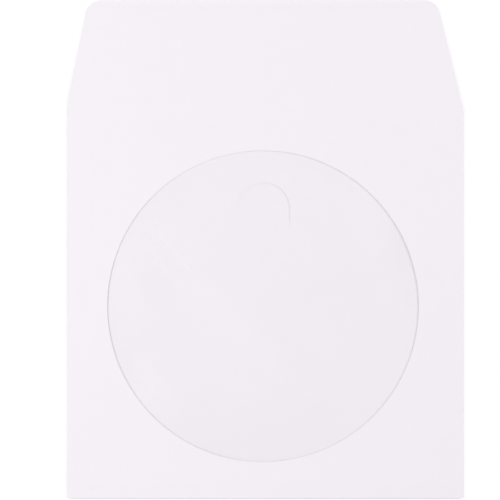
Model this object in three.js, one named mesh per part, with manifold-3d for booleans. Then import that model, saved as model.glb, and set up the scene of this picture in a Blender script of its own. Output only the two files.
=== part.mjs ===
// A paper sleeve for a disc, with a round clear window in front and its closing flap lying open.
// It lies on its back panel with the window up: +X is right, +Y runs to the flap, +Z is up.
// The origin is the middle of the sleeve's outline, on the surface that it lies on.
import * as THREE from "three";
import { mergeVertices } from "three/addons/utils/BufferGeometryUtils.js";
import Module from "manifold-3d";

const wasm = await Module();
wasm.setup();

// Driving dimensions in millimetres: the disc that goes in, and the square body round it
const discDiameter = 120;
const discPlay = 5;
const paperThickness = 0.12;
const glueLine = 0.03;
const foldGap = 0.25;
const crownRise = 0.6;
const crownRun = 36;

// The closing flap, which the die cuts a little lopsided
const flapLength = 31.8;
const flapInsetLeft = 6.8;
const flapInsetRight = 8.6;
const shoulderDropLeft = 1.4;
const shoulderDropRight = 3.3;
const flapCornerRadius = 5;
const flapTipHeight = 0.15;

// The window and the clear film behind it
const windowLip = 11;
const windowFoot = 11.6;
const windowShift = -0.7;
const filmThickness = 0.04;
const filmSideMargin = 5;
const filmEndMargin = 7;

// The seam flaps, folded in behind the front panel and glued to the back panel
const seamFlapWidth = 9.5;
const seamEndDrop = 2;
const seamEndSlant = 4.5;
const glueMargin = 1.5;

// The back panel and the tongue cut in it, which the closed flap tucks under
const backInset = 1.2;
const throatDrop = 5.8;
const throatChamfer = 1.5;
const flapTuck = 6.1;
const tongueWidth = 15.9;
const tongueLeg = 4.95;
const slitWidth = 0.15;
const slitNick = 1.2;

// How finely curves and bent sheets are divided, and how far cutting shapes reach past the paper
const gridCell = 5;
const foldSteps = 6;
const cornerSteps = 10;
const tongueSteps = 24;
const windowSteps = 128;
const past = 1;

// Places worked out from the sizes
const bodySide = discDiameter + discPlay;
const halfWidth = bodySide / 2;
const bottomEdge = -(bodySide + flapLength) / 2;
const foldLine = bottomEdge + bodySide;
const topEdge = foldLine + flapLength;
const throat = foldLine - throatDrop;
const seamUnder = paperThickness + glueLine;
const edgeUnder = seamUnder + paperThickness + foldGap;
const edgeTop = edgeUnder + paperThickness;
const sideRadius = (edgeTop - seamUnder) / 2;
const sideCentre = edgeTop - sideRadius;
const bottomRadius = edgeTop / 2;
const panelHalfWidth = halfWidth - sideRadius;
const panelStart = bottomEdge + bottomRadius;
const backHalfWidth = halfWidth - backInset;
const seamHalfWidth = halfWidth - seamFlapWidth;
const windowRadius = discDiameter / 2 - windowLip;
const windowY = bottomEdge + windowFoot + windowRadius;
const overBack = paperThickness + glueLine / 2;
const overAll = edgeTop + crownRise + past;
const underAll = -past;

// A smooth step from 0 to 1
function ease(t) {
  const s = THREE.MathUtils.clamp(t, 0, 1);
  return s * s * (3 - 2 * s);
}

// The height of the front sheet's underside. The panel crowns between its folds, and past the
// fold line the flap sinks as a strip held at one end does.
function sheetUnder(x, y) {
  const fromSide = panelHalfWidth - Math.abs(x);
  const fromBottom = Math.min(y, foldLine) - panelStart;
  const crown = crownRise * ease(fromSide / crownRun) * ease(fromBottom / crownRun);
  const along = Math.max(0, y - foldLine) / flapLength;
  const sink = (along * along * (3 - along)) / 2;
  return THREE.MathUtils.lerp(edgeUnder + crown, flapTipHeight, sink);
}

// A geometry as a manifold-3d solid
function toSolid(geometry) {
  const bare = geometry.clone();
  bare.deleteAttribute("normal");
  bare.deleteAttribute("uv");
  const merged = mergeVertices(bare, 1e-5);
  const vertProperties = merged.attributes.position.array;
  const triVerts = new Uint32Array(merged.index.array);
  return new wasm.Manifold(new wasm.Mesh({ numProp: 3, vertProperties, triVerts }));
}

// A manifold-3d solid as a geometry
function toGeometry(solid) {
  const mesh = solid.getMesh();
  const geometry = new THREE.BufferGeometry();
  geometry.setAttribute("position", new THREE.BufferAttribute(mesh.vertProperties, 3));
  geometry.setIndex(new THREE.BufferAttribute(mesh.triVerts, 1));
  geometry.computeVertexNormals();
  return geometry;
}

// An upright prism over a shape, from one height to another
function prism(shape, low, high, curveSegments) {
  const options = { depth: high - low, bevelEnabled: false, curveSegments };
  return toSolid(new THREE.ExtrudeGeometry(shape, options).translate(0, 0, low));
}

// An upright prism over a straight-sided outline, given as [x, y] points
function polygonPrism(points, low, high) {
  return prism(new THREE.Shape(points.map(([x, y]) => new THREE.Vector2(x, y))), low, high, 1);
}

// Even lines from low to high, about a cell apart
function evenLines(low, high) {
  const cells = Math.max(1, Math.round((high - low) / gridCell));
  return Array.from({ length: cells + 1 }, (_, i) => THREE.MathUtils.lerp(low, high, i / cells));
}

// A closed body over the filled cells of a grid: an outer and an inner skin, and a wall at each
// free edge. pointAt gives the point at a crossing, out to one side of the sheet's middle.
function gridSolid(columns, rows, thickness, isFilled, pointAt) {
  const positions = [];
  const indices = [];
  const has = (i, j) => i >= 0 && j >= 0 && i < columns && j < rows && isFilled(i, j);
  const outer = (i, j) => 2 * (i * (rows + 1) + j);
  const inner = (i, j) => outer(i, j) + 1;
  const quad = (a, b, c, d) => indices.push(a, b, c, a, c, d);
  const wall = (a, b) => quad(outer(...b), outer(...a), inner(...a), inner(...b));
  for (let i = 0; i <= columns; i++) {
    for (let j = 0; j <= rows; j++) {
      const isUsed = has(i, j) || has(i - 1, j) || has(i, j - 1) || has(i - 1, j - 1);
      for (const out of [thickness / 2, -thickness / 2]) {
        positions.push(...(isUsed ? pointAt(i, j, out) : [0, 0, 0]));
      }
      if (!has(i, j)) continue;
      quad(outer(i, j), outer(i + 1, j), outer(i + 1, j + 1), outer(i, j + 1));
      quad(inner(i, j), inner(i, j + 1), inner(i + 1, j + 1), inner(i + 1, j));
      if (!has(i, j - 1)) wall([i, j], [i + 1, j]);
      if (!has(i + 1, j)) wall([i + 1, j], [i + 1, j + 1]);
      if (!has(i, j + 1)) wall([i + 1, j + 1], [i, j + 1]);
      if (!has(i - 1, j)) wall([i, j + 1], [i, j]);
    }
  }
  const geometry = new THREE.BufferGeometry();
  geometry.setAttribute("position", new THREE.Float32BufferAttribute(positions, 3));
  geometry.setIndex(indices);
  return toSolid(geometry);
}

// The lines beyond a fold: steps of its half turn, then the free edge, a tail's length further on
function linesPastFold(tail) {
  const steps = Array.from({ length: foldSteps }, (_, i) => (Math.PI * (i + 1)) / foldSteps);
  return [...steps.map((turn) => ({ turn, tail: 0 })), { turn: Math.PI, tail }];
}

// The lines of the sheet from its left edge to its right one. side is 0 on the front panel.
function linesAcross() {
  const inner = evenLines(-backHalfWidth, backHalfWidth);
  const panel = [-panelHalfWidth, ...inner, panelHalfWidth].map((x) => ({ x, side: 0 }));
  const seam = linesPastFold(panelHalfWidth - seamHalfWidth);
  const left = seam.map((line) => ({ ...line, side: -1 })).reverse();
  const right = seam.map((line) => ({ ...line, side: 1 }));
  return [...left, ...panel, ...right];
}

// The lines of the sheet from the back panel's free edge, round the bottom fold, to the flap's end
function linesAlong() {
  const front = [...evenLines(panelStart, foldLine), ...evenLines(foldLine, topEdge).slice(1)];
  return [...linesPastFold(throat - panelStart).reverse(), ...front.map((y) => ({ y, turn: 0 }))];
}

// Where two lines cross once the sheet is folded. out is the distance outwards from its middle.
function foldedPoint(across, along, out) {
  if (along.turn) {
    const radius = bottomRadius - paperThickness / 2 + out;
    const y = panelStart - radius * Math.sin(along.turn) + along.tail;
    return [across.x, y, bottomRadius + radius * Math.cos(along.turn)];
  }
  if (across.side) {
    const radius = sideRadius - paperThickness / 2 + out;
    const x = panelHalfWidth + radius * Math.sin(across.turn) - across.tail;
    return [across.side * x, along.y, sideCentre + radius * Math.cos(across.turn)];
  }
  return [across.x, along.y, sheetUnder(across.x, along.y) + paperThickness / 2 + out];
}

// The sheet before its ends, window and tongue are cut. The seam flaps lie beside the front
// panel alone, and the back panel and its fold are a little narrower than the front.
function foldedSheet() {
  const across = linesAcross();
  const along = linesAlong();
  const isFilled = (i, j) => {
    const isFront = !along[j].turn;
    if (across[i].side || across[i + 1].side) return isFront && along[j + 1].y <= foldLine;
    return isFront || Math.max(-across[i].x, across[i + 1].x) <= backHalfWidth;
  };
  const pointAt = (i, j, out) => foldedPoint(across[i], along[j], out);
  return gridSolid(across.length - 1, along.length - 1, paperThickness, isFilled, pointAt);
}

// Where a side's seam flap starts at its fold, below the shoulder
function seamTop(side) {
  return foldLine - (side < 0 ? shoulderDropLeft : shoulderDropRight) - seamEndDrop;
}

// What is cut from a seam flap: both its ends slant away from the body's corners.
function seamEnds(side) {
  const insideBottomFold = panelStart - paperThickness / 3;
  const cut = (start, beyond, slope) => {
    const slanted = start + slope * seamEndSlant;
    const points = [
      [side * (halfWidth + past), beyond],
      [side * (halfWidth + past), start],
      [side * halfWidth, start],
      [side * seamHalfWidth, slanted],
      [side * (seamHalfWidth - past), slanted],
      [side * (seamHalfWidth - past), beyond],
    ];
    return polygonPrism(points, overBack, sideCentre);
  };
  const top = cut(seamTop(side), foldLine + past, -1);
  return top.add(cut(bottomEdge + seamEndDrop, insideBottomFold, 1));
}

// The strip of glue that closes a side seam, half sunk into the paper above and below it
function glueStrip(side) {
  const outerX = side * (backHalfWidth - glueMargin);
  const innerX = side * (seamHalfWidth + glueMargin);
  const low = bottomEdge + seamEndDrop + seamEndSlant + glueMargin;
  const high = Math.min(seamTop(side) - seamEndSlant, throat) - glueMargin;
  const points = [
    [outerX, low],
    [innerX, low],
    [innerX, high],
    [outerX, high],
  ];
  return polygonPrism(points, paperThickness / 2, seamUnder + paperThickness / 2);
}

// The chamfered corner of the back panel at the throat
function throatCorner(side) {
  const points = [
    [side * (backHalfWidth + past), throat + past],
    [side * (backHalfWidth + past), throat - throatChamfer - past],
    [side * (backHalfWidth - throatChamfer - past), throat + past],
  ];
  return polygonPrism(points, underAll, overBack);
}

// The arch-shaped slit round the tongue, with a short nick outwards at the foot of each leg
function tongueSlit() {
  const outer = (tongueWidth + slitWidth) / 2;
  const inner = (tongueWidth - slitWidth) / 2;
  const nick = outer + slitNick;
  const centre = topEdge - 2 * flapLength + flapTuck - tongueWidth / 2;
  const foot = centre - tongueLeg;
  const nickTop = foot + slitWidth;
  const shape = new THREE.Shape();
  shape.moveTo(inner, foot);
  shape.lineTo(nick, foot);
  shape.lineTo(nick, nickTop);
  shape.lineTo(outer, nickTop);
  shape.absarc(0, centre, outer, 0, Math.PI, false);
  shape.lineTo(-outer, nickTop);
  shape.lineTo(-nick, nickTop);
  shape.lineTo(-nick, foot);
  shape.lineTo(-inner, foot);
  shape.absarc(0, centre, inner, Math.PI, 0, true);
  shape.closePath();
  return prism(shape, underAll, overBack, tongueSteps);
}

// Carries a shape's path to a corner and round it, with the flap's corner radius.
function roundCorner(shape, before, corner, after) {
  const back = before.clone().sub(corner).normalize();
  const onward = after.clone().sub(corner).normalize();
  const half = Math.acos(back.dot(onward)) / 2;
  const start = corner.clone().addScaledVector(back, flapCornerRadius / Math.tan(half));
  const inward = back.clone().add(onward).normalize();
  const centre = corner.clone().addScaledVector(inward, flapCornerRadius / Math.sin(half));
  const from = start.clone().sub(centre).angle();
  shape.lineTo(start.x, start.y);
  shape.absarc(centre.x, centre.y, flapCornerRadius, from, from + Math.PI - 2 * half, false);
}

// The sleeve's outline from above: clear of the square body, and along the flap's tapered sides
function outline() {
  const point = (x, y) => new THREE.Vector2(x, y);
  const beyond = (from, to) => to.clone().sub(from).setLength(4 * past).add(to);
  const topLeft = point(-halfWidth + flapInsetLeft, topEdge);
  const topRight = point(halfWidth - flapInsetRight, topEdge);
  const left = beyond(topLeft, point(-halfWidth, foldLine - shoulderDropLeft));
  const right = beyond(topRight, point(halfWidth, foldLine - shoulderDropRight));
  const shape = new THREE.Shape();
  shape.moveTo(-halfWidth - past, bottomEdge - past);
  shape.lineTo(halfWidth + past, bottomEdge - past);
  shape.lineTo(right.x, right.y);
  roundCorner(shape, right, topRight, topLeft);
  roundCorner(shape, topRight, topLeft, left);
  shape.lineTo(left.x, left.y);
  shape.closePath();
  return prism(shape, underAll, overAll, cornerSteps);
}

// The round window is cut in the front panel alone.
function windowCut() {
  const shape = new THREE.Shape();
  shape.absarc(windowShift, windowY, windowRadius, 0, 2 * Math.PI, false);
  return prism(shape, sideCentre, overAll, windowSteps);
}

// The whole sleeve is one sheet: front panel and flap, side folds, bottom fold and back panel.
function foldedPaper() {
  return foldedSheet()
    .add(glueStrip(-1))
    .add(glueStrip(1))
    .subtract(seamEnds(-1))
    .subtract(seamEnds(1))
    .subtract(throatCorner(-1))
    .subtract(throatCorner(1))
    .subtract(tongueSlit())
    .subtract(windowCut())
    .intersect(outline());
}

// The film is a plain oblong, glued behind the front panel all round the window.
function windowFilm() {
  const halfAcross = windowRadius + filmSideMargin;
  const halfAlong = windowRadius + filmEndMargin;
  const across = evenLines(windowShift - halfAcross, windowShift + halfAcross);
  const along = evenLines(windowY - halfAlong, windowY + halfAlong);
  const pointAt = (i, j, out) => {
    const middle = sheetUnder(across[i], along[j]) - glueLine - filmThickness / 2;
    return [across[i], along[j], middle + out];
  };
  return gridSolid(across.length - 1, along.length - 1, filmThickness, () => true, pointAt);
}

// A named mesh of one solid
function piece(name, solid, material) {
  const mesh = new THREE.Mesh(toGeometry(solid), material);
  mesh.name = name;
  return mesh;
}

const whitePaper = new THREE.MeshStandardMaterial({
  color: 0xf4f1f6,
  roughness: 0.85,
  metalness: 0,
});
const clearFilm = new THREE.MeshStandardMaterial({
  color: 0xf3f1f6,
  roughness: 0.15,
  metalness: 0,
  transparent: true,
  opacity: 0.25,
});

const sleeve = new THREE.Group();
sleeve.add(piece("folded_paper", foldedPaper(), whitePaper));
sleeve.add(piece("window_film", windowFilm(), clearFilm));

export default sleeve;
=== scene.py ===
"""A window paper sleeve for a disc: its folded white paper and its clear film, dressed for a studio picture.

The sleeve is empty and lies on its back panel with the window up and the closing flap open. Sizes are in
millimetres until a piece is finished. The finished meshes are in metres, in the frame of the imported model.
"""

import logging
import math
from collections.abc import Callable, Iterable
from dataclasses import dataclass
from enum import Enum

import bmesh
import bpy
from mathutils import Matrix, Vector, noise


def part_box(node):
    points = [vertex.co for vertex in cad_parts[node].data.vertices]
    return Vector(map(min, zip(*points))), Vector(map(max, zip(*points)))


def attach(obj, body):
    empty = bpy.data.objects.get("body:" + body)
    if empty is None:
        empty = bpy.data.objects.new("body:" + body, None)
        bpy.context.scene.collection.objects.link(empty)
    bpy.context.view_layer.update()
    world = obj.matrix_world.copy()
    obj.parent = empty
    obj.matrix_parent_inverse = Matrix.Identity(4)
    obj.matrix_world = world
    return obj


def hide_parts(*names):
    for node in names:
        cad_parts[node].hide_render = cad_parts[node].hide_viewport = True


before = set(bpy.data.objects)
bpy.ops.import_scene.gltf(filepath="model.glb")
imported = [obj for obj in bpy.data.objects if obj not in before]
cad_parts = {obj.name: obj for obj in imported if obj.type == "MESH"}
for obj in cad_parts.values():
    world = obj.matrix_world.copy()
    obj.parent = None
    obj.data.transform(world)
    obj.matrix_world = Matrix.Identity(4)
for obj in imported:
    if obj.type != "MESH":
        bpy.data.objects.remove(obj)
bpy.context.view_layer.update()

LOG = logging.getLogger("sleeve")

# One millimetre in metres, and how near two places in millimetres are taken as the same one
MM = 0.001
NEAR = 1e-3

# The angle in degrees from which an edge of a finished sheet is drawn sharp
SHARP_ANGLE = 40.0

# Levels in the noise that give the flap and the film waves of their own
FLAP_NOISE = 9.0
FILM_NOISE = 4.0

Place = Callable[[Vector], Vector]


class Side(Enum):
    """A side of the sleeve, as the sign of its X."""

    LEFT = -1
    RIGHT = 1

    @classmethod
    def of(cls, x: float) -> "Side":
        """The side that an X lies on."""
        return cls.RIGHT if x > 0 else cls.LEFT


def ease(share: float) -> float:
    """A smooth step from 0 to 1, level at both ends."""
    held = min(1.0, max(0.0, share))
    return held * held * (3 - 2 * held)


def mix(start: float, end: float, share: float) -> float:
    """The value that lies a share of the way from start to end."""
    return start + (end - start) * share


def linear_colour(code: str) -> tuple[float, float, float, float]:
    """Turns an sRGB hex colour into linear light.

    Args:
        code: six hex digits, such as F5F0F6.

    Returns:
        Red, green and blue from 0 to 1, and an alpha of 1.
    """
    parts = [int(code[i : i + 2], 16) / 255 for i in (0, 2, 4)]
    red, green, blue = (p / 12.92 if p <= 0.04045 else ((p + 0.055) / 1.055) ** 2.4 for p in parts)
    return red, green, blue, 1.0


def add_node(
    tree: bpy.types.NodeTree,
    kind: str,
    inputs: dict[str | int, object] | None = None,
    **settings: object,
) -> bpy.types.Node:
    """Adds a shader node with its settings and links.

    Args:
        tree: the node tree that takes it.
        kind: the node's Blender type name.
        inputs: by a socket's name or number, a value to set or another node's output to link.
        settings: the node's own properties.

    Returns:
        The new node.
    """
    node = tree.nodes.new(kind)
    for name, value in settings.items():
        setattr(node, name, value)
    for name, value in (inputs or {}).items():
        if isinstance(value, bpy.types.NodeSocket):
            tree.links.new(value, node.inputs[name])
        else:
            node.inputs[name].default_value = value
    return node


def new_material(name: str) -> tuple[bpy.types.Material, bpy.types.NodeTree]:
    """An empty material and its node tree."""
    material = bpy.data.materials.new(name)
    material.use_nodes = True
    material.node_tree.nodes.clear()
    return material, material.node_tree


@dataclass(frozen=True)
class Taper:
    """How one side of the closing flap is cut, in millimetres."""

    inset: float
    shoulder_drop: float


@dataclass(frozen=True)
class SleevePlan:
    """The sleeve seen from above, in millimetres: what the paper and the film share."""

    half_width: float
    bottom: float
    top: float
    highest: float
    window: Vector
    window_radius: float
    paper: float = 0.12
    film: float = 0.04
    flap_length: float = 31.8
    corner_radius: float = 5.0
    left: Taper = Taper(inset=6.8, shoulder_drop=1.4)
    right: Taper = Taper(inset=8.6, shoulder_drop=3.3)
    side_fold: float = 0.185
    bottom_fold: float = 0.26
    back_inset: float = 1.2
    throat_drop: float = 5.8
    throat_chamfer: float = 1.5

    @classmethod
    def from_frame(cls, film_margin: float = 5.0) -> "SleevePlan":
        """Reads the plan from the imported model's boxes.

        Args:
            film_margin: how far the film reaches past the window at each side.

        Returns:
            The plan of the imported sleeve.
        """
        low, high = (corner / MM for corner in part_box("folded_paper"))
        film_low, film_high = (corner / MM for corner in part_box("window_film"))
        middle = (film_low + film_high) / 2
        return cls(
            half_width=high.x,
            bottom=low.y,
            top=high.y,
            highest=high.z,
            window=Vector((middle.x, middle.y, 0)),
            window_radius=(film_high.x - film_low.x) / 2 - film_margin,
        )

    @property
    def fold_line(self) -> float:
        """Where the flap leaves the front panel."""
        return self.top - self.flap_length

    @property
    def throat(self) -> float:
        """Where the back panel ends."""
        return self.fold_line - self.throat_drop

    @property
    def panel_half(self) -> float:
        """How far the front panel is flat, to each side fold."""
        return self.half_width - self.side_fold - self.paper / 2

    @property
    def panel_start(self) -> float:
        """Where the front panel leaves the bottom fold."""
        return self.bottom + self.bottom_fold + self.paper / 2

    @property
    def back_half(self) -> float:
        """Half the width of the back panel."""
        return self.half_width - self.back_inset

    def taper(self, side: Side) -> Taper:
        """The flap's cut on one side."""
        return self.left if side is Side.LEFT else self.right

    def shoulder(self, side: Side) -> float:
        """Where a side fold ends and the flap's cut starts."""
        return self.fold_line - self.taper(side).shoulder_drop

    def edge_at(self, side: Side, y: float) -> float:
        """How far the front sheet reaches to one side at some Y.

        Args:
            side: left or right.
            y: a place along the sleeve.

        Returns:
            The distance from the middle line to the fold, the slanted cut or the rounded corner.
        """
        shoulder = self.shoulder(side)
        slope = self.taper(side).inset / (self.top - shoulder)
        lean = math.hypot(1, slope)
        centre_y = self.top - self.corner_radius
        if y > centre_y + self.corner_radius * slope / lean:
            centre_x = self.half_width - slope * (centre_y - shoulder) - self.corner_radius * lean
            return centre_x + math.sqrt(max(0.0, self.corner_radius**2 - (y - centre_y) ** 2))
        return min(self.panel_half, self.half_width - slope * max(0.0, y - shoulder))


@dataclass(frozen=True)
class Rise:
    """A soft swelling of the front sheet, in millimetres: its middle, its reach each way and its height."""

    x: float
    y: float
    across: float
    along: float
    height: float

    def at(self, x: float, y: float) -> float:
        """How much higher the sheet lies at a point."""
        return self.height * math.exp(-(((x - self.x) / self.across) ** 2) - ((y - self.y) / self.along) ** 2)


@dataclass(frozen=True)
class SleeveLie:
    """How high each layer of the empty sleeve lies above the table, in millimetres.

    The front panel stands on its folds and sinks almost onto the back panel between them. It stands open at
    the right of the throat, where the sleeve was last pulled apart.
    """

    plan: SleevePlan
    fold_under: float = 0.52
    sunk_under: float = 0.285
    sink_start: float = 3.0
    sink_run: float = 9.0
    rises: tuple[Rise, ...] = (
        Rise(x=44.0, y=44.0, across=11.0, along=13.0, height=0.9),
        Rise(x=46.0, y=2.0, across=12.0, along=18.0, height=0.05),
        Rise(x=-48.0, y=-28.0, across=12.0, along=22.0, height=0.06),
        Rise(x=-10.0, y=-68.0, across=30.0, along=11.0, height=0.14),
        Rise(x=-22.0, y=26.0, across=21.0, along=13.0, height=-0.08),
        Rise(x=21.0, y=26.0, across=13.0, along=10.0, height=-0.05),
    )
    cockle_size: float = 34.0
    cockle_rise: float = 0.04
    flap_tip: float = 0.13
    glue: float = 0.03

    def front(self, x: float, y: float) -> float:
        """The height of the middle of the front sheet, flap included."""
        plan = self.plan
        held_y = min(y, plan.fold_line)
        from_side = plan.panel_half - abs(x)
        from_bottom = held_y - plan.panel_start
        inside = ease((from_side - self.sink_start) / self.sink_run)
        inside *= ease((from_bottom - self.sink_start) / self.sink_run)
        cockle = self.cockle_rise * (1 + noise.noise(Vector((x, held_y, 0)) / self.cockle_size)) / 2
        rise = sum(r.at(x, held_y) for r in self.rises)
        rise *= ease(from_side / self.sink_run) * ease(from_bottom / self.sink_run)
        under = mix(self.fold_under, self.sunk_under + cockle, inside) + rise
        under = min(under, plan.highest - plan.paper)
        past_fold = max(0.0, y - plan.fold_line) / plan.flap_length
        sink = past_fold * past_fold * (3 - past_fold) / 2
        wave = self.cockle_rise * noise.noise(Vector((x, y, FLAP_NOISE)) / self.cockle_size) * ease(past_fold)
        return mix(under, self.flap_tip + self.cockle_rise, sink) + wave + plan.paper / 2

    def film(self, x: float, y: float) -> float:
        """The height of the middle of the film, where it is glued behind the front sheet."""
        return self.front(x, y) - self.plan.paper / 2 - self.glue - self.plan.film / 2


def free_edges(bm: bmesh.types.BMesh, test: Callable[[Vector], bool]) -> list[bmesh.types.BMEdge]:
    """The open edges of a sheet whose two ends both pass a test."""
    return [e for e in bm.edges if e.is_boundary and all(test(v.co) for v in e.verts)]


def ends_of(edges: Iterable[bmesh.types.BMEdge]) -> list[bmesh.types.BMVert]:
    """The vertices at the ends of some edges, each once."""
    return list(dict.fromkeys(v for e in edges for v in e.verts))


def edges_at(vertices: Iterable[bmesh.types.BMVert]) -> list[bmesh.types.BMEdge]:
    """The edges that meet some vertices, each once."""
    return list(dict.fromkeys(e for v in vertices for e in v.link_edges))


def draw_out(
    bm: bmesh.types.BMesh, edges: list[bmesh.types.BMEdge], place: Place, rows: int = 1
) -> list[bmesh.types.BMEdge]:
    """Extrudes a row or ring of edges to new places, and divides the new faces into rows.

    Args:
        bm: the mesh in the making.
        edges: the row or ring to start from.
        place: gives a copied vertex its new place.
        rows: how many rows of faces to leave between the old edges and the new ones.

    Returns:
        The new row or ring of edges.
    """
    made = bmesh.ops.extrude_edge_only(bm, edges=edges)["geom"]
    moved = {g for g in made if isinstance(g, bmesh.types.BMVert)}
    for vertex in moved:
        vertex.co = place(vertex.co.copy())
    touching = {e for v in moved for e in v.link_edges}
    along = [e for e in touching if all(v in moved for v in e.verts)]
    across = [e for e in touching if not all(v in moved for v in e.verts)]
    if rows > 1:
        bmesh.ops.subdivide_edges(bm, edges=across, cuts=rows - 1, use_grid_fill=True)
    return along


def snap(
    vertices: Iterable[bmesh.types.BMVert], middle: Vector, corners: Iterable[tuple[float, float]]
) -> None:
    """Moves vertices of a ring onto its corners, in their order round the middle, so that no two cross.

    Args:
        vertices: the ring's vertices.
        middle: a point inside the ring.
        corners: the corners' X and Y.
    """

    def turn(co: Vector) -> float:
        """The direction of a point from the middle."""
        return math.atan2(co.y - middle.y, co.x - middle.x)

    ring = sorted(vertices, key=lambda v: turn(v.co))
    for corner in sorted((Vector((x, y, 0)) for x, y in corners), key=turn):
        nearest = min(range(len(ring)), key=lambda i: abs(turn(ring[i].co) - turn(corner)))
        ring[nearest].co = corner
        del ring[: nearest + 1]


def onto_box(co: Vector, middle: Vector, low: Vector, high: Vector) -> Vector:
    """Where the ray from middle through co leaves an upright box.

    Args:
        co: a point on the ray.
        middle: the ray's start, inside the box.
        low: the box's lower left corner.
        high: the box's upper right corner.

    Returns:
        The point on the box's outline.
    """
    way = co - middle
    reaches = [(high[i] - middle[i] if way[i] > 0 else low[i] - middle[i]) / way[i] for i in (0, 1) if way[i]]
    return middle + way * min(reaches)


def sheet_piece(name: str, bm: bmesh.types.BMesh, thickness: float) -> bpy.types.Object:
    """Gives a bare surface its thickness and makes it a piece of the scene.

    Args:
        name: the piece's name.
        bm: the surface through the middle of the sheet, in millimetres. It is used up.
        thickness: the sheet's thickness in millimetres.

    Returns:
        The finished piece, in metres, smooth but for its cut edges.
    """
    bmesh.ops.remove_doubles(bm, verts=bm.verts, dist=NEAR)
    bmesh.ops.recalc_face_normals(bm, faces=bm.faces)
    bmesh.ops.scale(bm, vec=(MM, MM, MM), verts=bm.verts)
    surface = bpy.data.meshes.new(name + "_surface")
    bm.to_mesh(surface)
    bm.free()
    piece = bpy.data.objects.new(name, surface)
    bpy.context.scene.collection.objects.link(piece)
    wall = piece.modifiers.new("thickness", "SOLIDIFY")
    wall.thickness = thickness * MM
    wall.offset = 0
    wall.use_quality_normals = True
    graph = bpy.context.evaluated_depsgraph_get()
    piece.data = bpy.data.meshes.new_from_object(piece.evaluated_get(graph), depsgraph=graph)
    piece.data.name = name
    piece.modifiers.clear()
    bpy.data.meshes.remove(surface)
    piece.data.polygons.foreach_set("use_smooth", [True] * len(piece.data.polygons))
    piece.data.set_sharp_from_angle(angle=math.radians(SHARP_ANGLE))
    return piece


@dataclass(frozen=True)
class WoodfreePaper:
    """Bleached wood-free paper, machine finished: matt, cool white, faintly cloudy from its fibres.

    A painted shade darkens it in a thin band beside the slit, where the panel's raised edge shadows the
    tongue. Sizes are in millimetres. The edges of the film and of the back panel behind it show as faint
    steps.
    """

    colour: str = "F7F2F8"
    cloud_colour: str = "F4EFF5"
    # Painted shade beside the slit, added to the real shadow of the panel's raised edge
    slit_shade_colour: str = "ECE7ED"
    # Clumps of fibre are 2 to 8 mm across, and single fibres 1 mm long
    cloud_size: float = 6.0
    fleck_size: float = 0.9
    fleck_share: float = 0.4
    # The real tooth is as fine as a fibre, 0.03 mm. It is drawn ten times as coarse, so that it shows
    tooth_size: float = 0.35
    tooth_depth: float = 0.006
    roughness: float = 0.82
    specular: float = 0.15
    film_reach: float = 54.0
    relief_run: float = 1.0
    relief_depth: float = 0.05

    def material(self, plan: SleevePlan) -> bpy.types.Material:
        """Makes the paper's material.

        Args:
            plan: where the layers underneath end, whose edges show as faint steps.

        Returns:
            The material, on Object coordinates.
        """
        material, tree = new_material("woodfree_paper")
        place = add_node(tree, "ShaderNodeTexCoord").outputs["Object"]
        cloud = add_node(
            tree, "ShaderNodeTexNoise", {"Vector": place, "Scale": 1 / (self.cloud_size * MM), "Detail": 3.0}
        )
        fleck = add_node(
            tree, "ShaderNodeTexNoise", {"Vector": place, "Scale": 1 / (self.fleck_size * MM), "Detail": 1.0}
        )
        share = add_node(
            tree,
            "ShaderNodeMix",
            {"Factor": self.fleck_share, "A": cloud.outputs["Fac"], "B": fleck.outputs["Fac"]},
        )
        tint = add_node(
            tree,
            "ShaderNodeMix",
            {
                "Factor": share.outputs["Result"],
                "A": linear_colour(self.colour),
                "B": linear_colour(self.cloud_colour),
            },
            data_type="RGBA",
        )
        # Painted shade: the cut attribute darkens a thin band beside the slit, where the panel's raised edge
        # shadows the tongue
        cut = add_node(tree, "ShaderNodeAttribute", attribute_name="cut")
        whole = add_node(
            tree,
            "ShaderNodeMix",
            {
                "Factor": cut.outputs["Fac"],
                "A": tint.outputs["Result"],
                "B": linear_colour(self.slit_shade_colour),
            },
            data_type="RGBA",
        )
        tooth = add_node(
            tree, "ShaderNodeTexNoise", {"Vector": place, "Scale": 1 / (self.tooth_size * MM), "Detail": 3.0}
        )
        grain = add_node(
            tree,
            "ShaderNodeBump",
            {"Strength": 1.0, "Distance": self.tooth_depth * MM, "Height": tooth.outputs["Fac"]},
        )
        parts = add_node(tree, "ShaderNodeSeparateXYZ", {"Vector": place})
        shifted = add_node(
            tree, "ShaderNodeMath", {0: parts.outputs["X"], 1: plan.window.x * MM}, operation="SUBTRACT"
        )
        aside = add_node(tree, "ShaderNodeMath", {0: shifted.outputs[0]}, operation="ABSOLUTE")
        steps = []
        for value, edge in ((aside.outputs[0], self.film_reach), (parts.outputs["Y"], plan.throat)):
            step = add_node(
                tree,
                "ShaderNodeMapRange",
                {
                    "Value": value,
                    "From Min": (edge + self.relief_run / 2) * MM,
                    "From Max": (edge - self.relief_run / 2) * MM,
                },
                interpolation_type="SMOOTHSTEP",
            )
            steps.append(step.outputs["Result"])
        layers = add_node(tree, "ShaderNodeMath", {0: steps[0], 1: steps[1]}, operation="MULTIPLY")
        relief = add_node(
            tree,
            "ShaderNodeBump",
            {
                "Strength": 1.0,
                "Distance": self.relief_depth * MM,
                "Height": layers.outputs[0],
                "Normal": grain.outputs["Normal"],
            },
        )
        shader = add_node(
            tree,
            "ShaderNodeBsdfPrincipled",
            {
                "Base Color": whole.outputs["Result"],
                "Roughness": self.roughness,
                "Specular IOR Level": self.specular,
                "Normal": relief.outputs["Normal"],
            },
        )
        add_node(tree, "ShaderNodeOutputMaterial", {"Surface": shader.outputs["BSDF"]})
        return material


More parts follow.
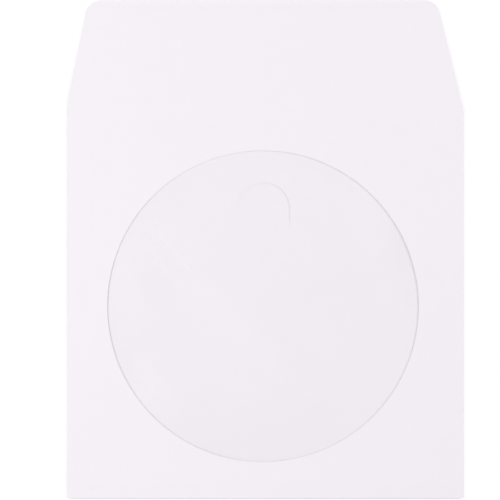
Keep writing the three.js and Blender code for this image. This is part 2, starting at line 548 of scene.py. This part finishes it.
@dataclass(frozen=True)
class CastFilm:
    """Cast polypropylene film: clear and glossy, with a slight haze that grows where it has been creased.

    The room is an even white, so the lighter and darker mirrorings of slack film are painted reflections in
    its tint. The tint also carries painted shadow just inside the window's rim, painted shade towards the
    window's bottom and painted highlights along the creases.
    """

    light_colour: str = "FFFFFF"
    dark_colour: str = "FAFAFA"
    haze_colour: str = "F5F1F6"
    roughness: float = 0.06
    ior: float = 1.49
    haze: float = 0.06
    crease_haze: float = 0.12
    lamp_tint: str = "FEFEFE"

    def material(self) -> bpy.types.Material:
        """Makes the film's material, which lets the lamps through to the paper behind it."""
        material, tree = new_material("cast_film")
        crease = add_node(tree, "ShaderNodeAttribute", attribute_name="crease")
        haze = add_node(
            tree,
            "ShaderNodeMath",
            {0: crease.outputs["Fac"], 1: self.crease_haze, 2: self.haze},
            operation="MULTIPLY_ADD",
        )
        # Painted reflections, shade and crease highlights, carried by the patch attribute into the film's
        # tint
        patch = add_node(tree, "ShaderNodeAttribute", attribute_name="patch")
        lightness = add_node(
            tree, "ShaderNodeMapRange", {"Value": patch.outputs["Fac"], "From Min": -1.0, "From Max": 1.0}
        )
        tint = add_node(
            tree,
            "ShaderNodeMix",
            {
                "Factor": lightness.outputs["Result"],
                "A": linear_colour(self.dark_colour),
                "B": linear_colour(self.light_colour),
            },
            data_type="RGBA",
        )
        clear = add_node(
            tree,
            "ShaderNodeBsdfPrincipled",
            {
                "Base Color": tint.outputs["Result"],
                "Roughness": self.roughness,
                "IOR": self.ior,
                "Transmission Weight": 1.0,
            },
        )
        cloudy = add_node(tree, "ShaderNodeBsdfDiffuse", {"Color": linear_colour(self.haze_colour)})
        film = add_node(
            tree,
            "ShaderNodeMixShader",
            {"Fac": haze.outputs[0], 1: clear.outputs["BSDF"], 2: cloudy.outputs["BSDF"]},
        )
        open_way = add_node(tree, "ShaderNodeBsdfTransparent", {"Color": linear_colour(self.lamp_tint)})
        path = add_node(tree, "ShaderNodeLightPath")
        scattered = add_node(
            tree,
            "ShaderNodeMath",
            {0: path.outputs["Is Shadow Ray"], 1: path.outputs["Diffuse Depth"]},
            operation="ADD",
            use_clamp=True,
        )
        shader = add_node(
            tree,
            "ShaderNodeMixShader",
            {"Fac": scattered.outputs[0], 1: film.outputs["Shader"], 2: open_way.outputs["BSDF"]},
        )
        add_node(tree, "ShaderNodeOutputMaterial", {"Surface": shader.outputs["Shader"]})
        return material


@dataclass(frozen=True)
class TuckTongue:
    """The arch-shaped slit in the back panel, in millimetres: an arc on two legs with a nick at each foot."""

    middle_x: float = -0.3
    radius: float = 7.95
    leg: float = 4.65
    flap_tuck: float = 6.1
    nick: float = 0.25
    nick_open: float = 0.08
    slit: float = 0.02
    shift: float = 0.012
    # How wide the painted shade beside the slit reaches, and where the first row round the hole lies
    slit_shade_width: float = 0.3
    band: float = 1.5
    lift: float = 0.12
    lift_run: float = 5.0
    parted: float = 0.5
    parted_right: float = 0.25
    parted_up: float = 0.5

    def centre(self, plan: SleevePlan) -> Vector:
        """The middle of the arch's arc."""
        return Vector((self.middle_x, plan.fold_line - plan.flap_length + self.flap_tuck - self.radius, 0))

    def outline(self, co: Vector, centre: Vector) -> Vector:
        """Where the ray from the arc's centre through a point meets the arch."""
        way = (co - centre).normalized()
        reach = self.radius
        if way.y < 0:
            reach = min(reach / max(abs(way.x), NEAR), self.leg / -way.y)
        return centre + way * reach

    def beside(self, co: Vector, centre: Vector, width: float) -> Vector:
        """The point that lies straight out from a point of the arch, or out and down from a foot.

        Args:
            co: a point of the arch.
            centre: the middle of the arc.
            width: how far out.

        Returns:
            The point beside the arch.
        """
        if co.y > centre.y:
            return co + (co - centre).normalized() * width
        out = co.copy()
        if abs(co.x - centre.x) > self.radius - NEAR:
            out.x += math.copysign(width, co.x - centre.x)
        if co.y < centre.y - self.leg + NEAR:
            out.y -= width
        return out

    def parting(self, co: Vector, centre: Vector) -> float:
        """How far the slit has parted, which also sets its painted shade: 1 at right and top, 0 at left."""
        way = (co - centre).normalized()
        return ease(self.parted + self.parted_right * way.x + self.parted_up * way.y)

    def lift_at(self, co: Vector, centre: Vector) -> float:
        """How far the back panel has sprung up beside the slit."""
        away = (co - self.outline(co, centre)).length
        return self.lift * self.parting(co, centre) * (1 - ease(away / self.lift_run))


@dataclass(frozen=True)
class FoldedPaper:
    """The sleeve's one folded sheet: front panel and flap, side folds, bottom fold and back panel."""

    plan: SleevePlan
    lie: SleeveLie
    tongue: TuckTongue = TuckTongue()
    rim_steps: int = 288
    rim_band: float = 0.9
    rim_rows: int = 3
    panel_rows: int = 22
    flap_row: float = 1.6
    corner_rows: int = 9
    fold_steps: int = 8
    seam_width: float = 9.5
    seam_end: float = 6.5
    seam_rows: int = 4
    slit_steps: int = 200
    back_rows: int = 34
    back_start: float = 2.0

    def build(self) -> bpy.types.Object:
        """Builds the whole sheet.

        Returns:
            The finished piece.
        """
        bm = bmesh.new()
        self.grow_front(bm)
        self.grow_flap(bm)
        self.settle_front(bm)
        for side in Side:
            self.fold_seam(bm, side)
        self.grow_back(bm, self.fold_bottom(bm))
        return sheet_piece("folded_sheet", bm, self.plan.paper)

    def grow_front(self, bm: bmesh.types.BMesh) -> None:
        """Draws the front panel out from its round window to its four edges."""
        plan = self.plan
        middle = plan.window
        made = bmesh.ops.create_circle(
            bm,
            segments=self.rim_steps,
            radius=plan.window_radius,
            cap_ends=False,
            matrix=Matrix.Translation(middle),
        )
        wider = 1 + self.rim_band / plan.window_radius
        ring = draw_out(bm, edges_at(made["verts"]), lambda co: middle + (co - middle) * wider, self.rim_rows)
        low = Vector((-plan.panel_half, plan.panel_start, 0))
        high = Vector((plan.panel_half, plan.fold_line, 0))
        ring = draw_out(bm, ring, lambda co: onto_box(co, middle, low, high))
        outer = ends_of(ring)
        corners = [(x, y) for x in (low.x, high.x) for y in (low.y, high.y)]
        corners += [(side.value * plan.back_half, low.y) for side in Side]
        corners += [(side.value * plan.panel_half, plan.shoulder(side)) for side in Side]
        snap(outer, middle, corners)
        for vertex in outer:
            side = Side.of(vertex.co.x)
            reach = plan.edge_at(side, vertex.co.y)
            if abs(vertex.co.x) > reach:
                vertex.co.x = side.value * reach
        spokes = [e for e in edges_at(outer) if e not in ring]
        bmesh.ops.subdivide_edges(bm, edges=spokes, cuts=self.panel_rows, use_grid_fill=True)

    def flap_levels(self) -> list[float]:
        """The Y of each row of the flap, closer together round its corners."""
        plan = self.plan
        arc_start = plan.top - plan.corner_radius
        rows = round((arc_start - plan.fold_line) / self.flap_row)
        even = [mix(plan.fold_line, arc_start, (i + 1) / rows) for i in range(rows)]
        turns = [math.pi / 2 * (i + 1) / self.corner_rows for i in range(self.corner_rows)]
        return even + [arc_start + plan.corner_radius * math.sin(turn) for turn in turns]

    def grow_flap(self, bm: bmesh.types.BMesh) -> None:
        """Draws the flap out of the front panel's upper edge, row by row between its slanted cuts."""
        plan = self.plan
        row = free_edges(bm, lambda co: abs(co.y - plan.fold_line) < NEAR)
        for level in self.flap_levels():

            def place(co: Vector, level: float = level) -> Vector:
                """A vertex of the last row, carried to the next level."""
                side = Side.of(co.x)
                return Vector((co.x * plan.edge_at(side, level) / plan.edge_at(side, co.y), level, 0))

            row = draw_out(bm, row, place)

    def settle_front(self, bm: bmesh.types.BMesh) -> None:
        """Gives the front sheet its height."""
        for vertex in bm.verts:
            vertex.co.z = self.lie.front(vertex.co.x, vertex.co.y)

    def fold_seam(self, bm: bmesh.types.BMesh, side: Side) -> None:
        """Turns a side of the front panel round its fold and draws out the seam flap behind it."""
        plan = self.plan
        fold_x = side.value * plan.panel_half
        row = free_edges(bm, lambda co: abs(co.x - fold_x) < NEAR and co.y < plan.shoulder(side) + NEAR)
        spun = bmesh.ops.spin(
            bm,
            geom=row + ends_of(row),
            cent=(fold_x, 0, self.lie.fold_under + plan.paper / 2 - plan.side_fold),
            axis=(0, 1, 0),
            angle=side.value * math.pi,
            steps=self.fold_steps,
        )
        last = [g for g in spun["geom_last"] if isinstance(g, bmesh.types.BMEdge)]
        low = min(v.co.y for v in ends_of(last))
        high = max(v.co.y for v in ends_of(last))
        inner_x = side.value * (plan.half_width - self.seam_width)

        def place(co: Vector) -> Vector:
            """A vertex of the fold, carried to the seam flap's slanted inner edge."""
            share = (co.y - low) / (high - low)
            return Vector((inner_x, mix(low + self.seam_end, high - self.seam_end, share), co.z))

        draw_out(bm, last, place, self.seam_rows)

    def fold_bottom(self, bm: bmesh.types.BMesh) -> list[bmesh.types.BMEdge]:
        """Turns the front panel's lower edge round the bottom fold.

        Returns:
            The edges that the back panel starts from.
        """
        plan = self.plan
        row = free_edges(
            bm, lambda co: abs(co.y - plan.panel_start) < NEAR and abs(co.x) < plan.back_half + NEAR
        )
        spun = bmesh.ops.spin(
            bm,
            geom=row + ends_of(row),
            cent=(0, plan.panel_start, self.lie.fold_under + plan.paper / 2 - plan.bottom_fold),
            axis=(1, 0, 0),
            angle=math.pi,
            steps=self.fold_steps,
        )
        return [g for g in spun["geom_last"] if isinstance(g, bmesh.types.BMEdge)]

    def grow_back(self, bm: bmesh.types.BMesh, fold: list[bmesh.types.BMEdge]) -> None:
        """Draws the back panel out from the slit's arch, joins it to the bottom fold and adds the tongue.

        Args:
            bm: the sheet in the making.
            fold: the last edges of the bottom fold.
        """
        plan = self.plan
        centre = self.tongue.centre(plan)
        foot = centre.y - self.tongue.leg
        made = bmesh.ops.create_circle(
            bm, segments=self.slit_steps, radius=1, cap_ends=False, matrix=Matrix.Translation(centre)
        )
        hole = edges_at(made["verts"])
        for vertex in made["verts"]:
            vertex.co = self.tongue.outline(vertex.co, centre)
        snap(made["verts"], centre, [(centre.x + side.value * self.tongue.radius, foot) for side in Side])
        slit_shade_width = self.tongue.slit_shade_width
        ring = draw_out(bm, hole, lambda co: self.tongue.beside(co, centre, slit_shade_width))
        rest = self.tongue.band / (self.tongue.radius + slit_shade_width)
        ring = draw_out(bm, ring, lambda co: co + (co - centre) * rest)
        low = Vector((-plan.back_half, plan.panel_start + self.back_start, 0))
        high = Vector((plan.back_half, plan.throat, 0))
        ring = draw_out(bm, ring, lambda co: onto_box(co, centre, low, high))
        self.trim_throat(ends_of(ring), centre, low, high)
        spokes = [e for e in edges_at(ends_of(ring)) if e not in ring]
        bmesh.ops.subdivide_edges(bm, edges=spokes, cuts=self.back_rows, use_grid_fill=True)
        self.open_nicks(ends_of(hole), centre, foot)
        # Painted shade along the slit, as strong as the slit has parted there: darkest at its right and top
        slit_shade_layer = bm.verts.layers.float.new("cut")
        for vertex in ends_of(hole):
            vertex[slit_shade_layer] = self.tongue.parting(vertex.co, centre)
        for vertex in bm.verts:
            if vertex.co.z == 0:
                vertex.co.z = plan.paper / 2 + self.tongue.lift_at(vertex.co, centre)
        start = [e for e in ring if all(abs(v.co.y - low.y) < NEAR for v in e.verts)]
        bmesh.ops.bridge_loops(bm, edges=fold + start)
        self.add_tongue(bm, hole, centre, foot)

    def trim_throat(
        self, outer: list[bmesh.types.BMVert], centre: Vector, low: Vector, high: Vector
    ) -> None:
        """Gives the back panel's outline its corners, and cuts off the two at the throat.

        Args:
            outer: the vertices of the outline.
            centre: the middle that the panel was drawn out from.
            low: the panel's lower left corner.
            high: the panel's upper right corner.
        """
        cut = self.plan.throat_chamfer
        corners = [(x, low.y) for x in (low.x, high.x)]
        corners += [(side.value * (high.x - cut), high.y) for side in Side]
        corners += [(side.value * high.x, high.y - cut) for side in Side]
        snap(outer, centre, corners)
        for vertex in outer:
            past = abs(vertex.co.x) - high.x + vertex.co.y - high.y + cut
            if past > 0:
                vertex.co.x -= math.copysign(past / 2, vertex.co.x)
                vertex.co.y -= past / 2

    def open_nicks(self, arch: list[bmesh.types.BMVert], centre: Vector, foot: float) -> None:
        """Draws the slit's ends outwards into the short nicks at its feet."""
        for side in Side:
            corner = Vector((centre.x + side.value * self.tongue.radius, foot, 0))
            tip, *others = sorted(arch, key=lambda v: (v.co - corner).length)
            above = next(v for v in others if v.co.y > foot + NEAR)
            below = next(v for v in others if abs(v.co.y - foot) < NEAR)
            tip.co = corner + Vector((side.value * self.tongue.nick, 0, 0))
            above.co = corner + Vector((0, self.tongue.nick_open, 0))
            below.co = corner

    def add_tongue(
        self, bm: bmesh.types.BMesh, hole: list[bmesh.types.BMEdge], centre: Vector, foot: float
    ) -> None:
        """Fills the arch with the tongue, which joins the back panel along the line between its feet.

        Args:
            bm: the sheet in the making.
            hole: the edges round the hole, nicks included.
            centre: the middle of the arc.
            foot: the Y of the slit's feet.
        """
        tongue = self.tongue
        panel = [e for e in hole if all(abs(v.co.x - centre.x) < tongue.radius + NEAR for v in e.verts)]
        free = [e for e in panel if any(v.co.y > foot + NEAR for v in e.verts)]
        root = [e for e in panel if e not in free]
        slit_shade_layer = bm.verts.layers.float["cut"]
        made = bmesh.ops.duplicate(bm, geom=free + ends_of(free))["geom"]
        edge = [g for g in made if isinstance(g, bmesh.types.BMEdge)]
        shrink = 1 - tongue.slit / tongue.radius
        for vertex in ends_of(edge):
            if vertex.co.y < foot + 2 * tongue.nick_open:
                vertex.co.y = foot
            else:
                vertex.co = centre + (vertex.co - centre) * shrink + Vector((-1, -1, 0)) * tongue.shift
        for vertex in ends_of(edge + root):
            vertex.co.z = self.plan.paper / 2
            vertex[slit_shade_layer] = 0
        bmesh.ops.remove_doubles(bm, verts=ends_of(edge + root), dist=NEAR)
        bmesh.ops.contextual_create(bm, geom=[e for e in edge + root if e.is_valid])


@dataclass(frozen=True)
class FilmCrease:
    """A soft crease in the film, in millimetres: where it runs, and how wide and high it stands."""

    start: tuple[float, float]
    end: tuple[float, float]
    width: float
    height: float
    fade: float = 0.08

    def share_at(self, x: float, y: float) -> float:
        """How near a point is to the crease: 1 on its ridge, and 0 clear of it."""
        line = Vector(self.end) - Vector(self.start)
        way = Vector((x, y)) - Vector(self.start)
        along = min(1.0, max(0.0, way.dot(line) / line.length_squared))
        away = (way - line * along).length / self.width
        return math.exp(-away * away) * math.sin(math.pi * mix(self.fade, 1 - self.fade, along))


@dataclass(frozen=True)
class FilmPatch:
    """A patch of painted reflection and shade in the film's tint, in millimetres and degrees."""

    x: float
    y: float
    length: float
    width: float
    turn: float
    shade: float

    def at(self, x: float, y: float) -> float:
        """The patch's shade at a point: above 0 is lighter, below 0 darker."""
        turn = math.radians(self.turn)
        along = (x - self.x) * math.cos(turn) + (y - self.y) * math.sin(turn)
        across = (y - self.y) * math.cos(turn) - (x - self.x) * math.sin(turn)
        return self.shade * math.exp(-((along / self.length) ** 2) - (across / self.width) ** 2)


@dataclass(frozen=True)
class WindowFilm:
    """The clear film behind the window: an oblong, glued round the window and a little slack inside it."""

    plan: SleevePlan
    lie: SleeveLie
    cell: float = 0.6
    slack: float = 0.07
    slack_run: float = 6.0
    slack_rise: float = 0.12
    slack_size: float = 17.0
    drift: float = 0.35
    # How strongly a painted highlight lightens the film's tint along the creases
    glint: float = 0.5
    creases: tuple[FilmCrease, ...] = (
        FilmCrease(start=(-38.8, 4.3), end=(-28.7, -9.5), width=0.8, height=0.022),
        FilmCrease(start=(-35.0, 7.5), end=(-23.4, -6.4), width=0.8, height=0.022),
        FilmCrease(start=(-44.1, -33.1), end=(-33.7, -50.4), width=2.5, height=0.022),
    )
    # Painted light and shade: lighter and darker reflections of slack film, painted shadow just inside the
    # rim at the right and lower left, and painted shade towards the window's bottom
    patches: tuple[FilmPatch, ...] = (
        FilmPatch(x=-43.5, y=-9.5, length=12.0, width=4.5, turn=95.0, shade=0.7),
        FilmPatch(x=-33.5, y=-11.0, length=10.0, width=5.0, turn=120.0, shade=-0.4),
        FilmPatch(x=-11.0, y=-22.0, length=22.0, width=5.5, turn=-43.0, shade=0.5),
        FilmPatch(x=30.0, y=8.0, length=16.0, width=8.0, turn=80.0, shade=0.25),
        FilmPatch(x=43.5, y=2.0, length=16.0, width=4.5, turn=100.0, shade=-1.0),
        FilmPatch(x=-43.0, y=-36.0, length=14.0, width=3.0, turn=-60.0, shade=-0.9),
        FilmPatch(x=-38.5, y=-40.0, length=10.0, width=3.5, turn=-60.0, shade=0.4),
        FilmPatch(x=-6.0, y=-62.0, length=38.0, width=13.0, turn=4.0, shade=-0.6),
        FilmPatch(x=14.0, y=-53.0, length=11.0, width=8.0, turn=20.0, shade=-0.45),
    )

    def build(self) -> bpy.types.Object:
        """Builds the film.

        Returns:
            The finished piece, with its creases and patches as attributes.
        """
        low, high = (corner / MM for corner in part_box("window_film"))
        size = high - low
        middle = (low + high) / 2
        bm = bmesh.new()
        bmesh.ops.create_grid(
            bm,
            x_segments=round(size.x / self.cell),
            y_segments=round(size.y / self.cell),
            size=0.5,
            matrix=Matrix.Translation((middle.x, middle.y, 0)) @ Matrix.Diagonal((size.x, size.y, 1, 1)),
        )
        crease_layer = bm.verts.layers.float.new("crease")
        patch_layer = bm.verts.layers.float.new("patch")
        for vertex in bm.verts:
            x, y, _ = vertex.co
            from_rim = self.plan.window_radius - (vertex.co - self.plan.window).length
            inside = ease(from_rim / self.slack_run)
            shares = [c.share_at(x, y) for c in self.creases]
            wave = noise.noise(Vector((x, y, FILM_NOISE)) / self.slack_size)
            ridge = sum(c.height * share for c, share in zip(self.creases, shares))
            loose = self.slack_rise + self.slack * wave + ridge
            vertex.co.z = self.lie.film(x, y) + inside * loose
            vertex[crease_layer] = min(1.0, sum(shares))
            # Painted reflections and shade from the patches, with a random drift
            shade = sum(patch.at(x, y) for patch in self.patches) + self.drift * wave
            # A painted highlight along each crease
            vertex[patch_layer] = shade + self.glint * sum(shares)
        return sheet_piece("clear_film_sheet", bm, self.plan.film)


@dataclass(frozen=True)
class SoftLamp:
    """A square soft box: where it stands in metres, its side, and its power in watts."""

    name: str
    place: tuple[float, float, float]
    side: float
    power: float


@dataclass(frozen=True)
class Studio:
    """A pale table, two soft boxes, an even sky and a camera that looks straight down.

    The frame and the table's gap are in millimetres, and the other lengths in metres. Seen by the camera, the
    table is mixed with an even white glow, and keeps the sleeve's shadow.
    """

    frame_width: float = 157.35
    frame_x: float = -4.8
    frame_y: float = -0.1
    camera_height: float = 2.0
    camera_reach: float = 10.0
    sky: float = 0.6
    table_side: float = 4.0
    table_colour: str = "F8F8F8"
    table_white: float = 0.7
    table_glow: float = 1.06
    table_gap: float = 0.02
    lamps: tuple[SoftLamp, ...] = (
        SoftLamp("left_softbox", (-0.45, 0.0, 0.45), 0.25, 1.38),
        SoftLamp("right_softbox", (0.7, 0.2, 0.45), 0.4, 2.27),
    )

    def build(self) -> None:
        """Sets up the table, the lamps, the sky and the camera."""
        self.add_table()
        self.add_sky()
        for lamp in self.lamps:
            self.add_lamp(lamp)
        self.add_camera()
        bpy.context.scene.view_settings.view_transform = "Standard"

    @staticmethod
    def seen_directly(tree: bpy.types.NodeTree) -> bpy.types.NodeSocket:
        """A socket that is 1 for what the camera sees, straight or through film, else 0."""
        path = add_node(tree, "ShaderNodeLightPath")
        passed = add_node(
            tree,
            "ShaderNodeMath",
            {0: path.outputs["Is Glossy Ray"], 1: path.outputs["Is Transmission Ray"]},
            operation="MAXIMUM",
        )
        seen = add_node(
            tree,
            "ShaderNodeMath",
            {0: path.outputs["Is Camera Ray"], 1: passed.outputs[0]},
            operation="MAXIMUM",
        )
        straight = add_node(
            tree,
            "ShaderNodeMath",
            {0: seen.outputs[0], 1: path.outputs["Diffuse Depth"]},
            operation="SUBTRACT",
            use_clamp=True,
        )
        return straight.outputs[0]

    def add_table(self) -> None:
        """A white table top that takes the sleeve's shadow and reaches past every view."""
        material, tree = new_material("table_paper")
        matt = add_node(tree, "ShaderNodeBsdfDiffuse", {"Color": linear_colour(self.table_colour)})
        white = add_node(
            tree, "ShaderNodeEmission", {"Color": linear_colour("FFFFFF"), "Strength": self.table_glow}
        )
        path = add_node(tree, "ShaderNodeLightPath")
        share = add_node(
            tree,
            "ShaderNodeMath",
            {0: path.outputs["Is Camera Ray"], 1: self.table_white},
            operation="MULTIPLY",
        )
        shader = add_node(
            tree,
            "ShaderNodeMixShader",
            {"Fac": share.outputs[0], 1: matt.outputs["BSDF"], 2: white.outputs["Emission"]},
        )
        add_node(tree, "ShaderNodeOutputMaterial", {"Surface": shader.outputs["Shader"]})
        bm = bmesh.new()
        bmesh.ops.create_grid(bm, x_segments=1, y_segments=1, size=self.table_side / 2)
        bmesh.ops.translate(bm, vec=(0, 0, -self.table_gap * MM), verts=bm.verts)
        mesh = bpy.data.meshes.new("table")
        bm.to_mesh(mesh)
        bm.free()
        mesh.materials.append(material)
        table = bpy.data.objects.new("table", mesh)
        bpy.context.scene.collection.objects.link(table)

    def add_sky(self) -> None:
        """An even white surround that lights the sleeve and shows white behind it."""
        world = bpy.data.worlds.new("surround")
        world.use_nodes = True
        tree = world.node_tree
        tree.nodes.clear()
        light = add_node(
            tree, "ShaderNodeBackground", {"Color": linear_colour("FFFFFF"), "Strength": self.sky}
        )
        white = add_node(tree, "ShaderNodeBackground", {"Color": linear_colour("FFFFFF"), "Strength": 1.0})
        shader = add_node(
            tree,
            "ShaderNodeMixShader",
            {"Fac": self.seen_directly(tree), 1: light.outputs["Background"], 2: white.outputs["Background"]},
        )
        add_node(tree, "ShaderNodeOutputWorld", {"Surface": shader.outputs["Shader"]})
        bpy.context.scene.world = world

    def add_lamp(self, lamp: SoftLamp) -> None:
        """Hangs one soft box, turned to the sleeve."""
        light = bpy.data.lights.new(lamp.name, "AREA")
        light.shape = "SQUARE"
        light.size = lamp.side
        light.energy = lamp.power
        box = bpy.data.objects.new(lamp.name, light)
        box.location = lamp.place
        box.rotation_euler = (-Vector(lamp.place)).to_track_quat("-Z", "Y").to_euler()
        bpy.context.scene.collection.objects.link(box)

    def add_camera(self) -> None:
        """A long lens that looks straight down on the table."""
        data = bpy.data.cameras.new("camera")
        data.lens = data.sensor_width * self.camera_height / (self.frame_width * MM)
        data.clip_start = self.camera_height / self.camera_reach
        data.clip_end = self.camera_height * self.camera_reach
        camera = bpy.data.objects.new("camera", data)
        camera.location = (self.frame_x * MM, self.frame_y * MM, self.camera_height)
        bpy.context.scene.collection.objects.link(camera)
        bpy.context.scene.camera = camera


def dress(piece: bpy.types.Object, node: str, material: bpy.types.Material) -> None:
    """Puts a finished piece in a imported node's place.

    Args:
        piece: the finished piece.
        node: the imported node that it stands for.
        material: the piece's finish.
    """
    piece.data.materials.clear()
    piece.data.materials.append(material)
    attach(piece, "root")
    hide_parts(node)
    low, high = (Vector(c) for c in (piece.bound_box[0], piece.bound_box[6]))
    size = (high - low) / MM
    LOG.info("%s: %d faces, %.2f x %.2f x %.2f mm", piece.name, len(piece.data.polygons), *size)


def main() -> None:
    """Builds the sleeve and the studio."""
    logging.basicConfig(level=logging.INFO, format="%(name)s: %(message)s")
    plan = SleevePlan.from_frame()
    lie = SleeveLie(plan)
    dress(FoldedPaper(plan, lie).build(), "folded_paper", WoodfreePaper().material(plan))
    dress(WindowFilm(plan, lie).build(), "window_film", CastFilm().material())
    Studio().build()


if __name__ == "__main__":
    main()
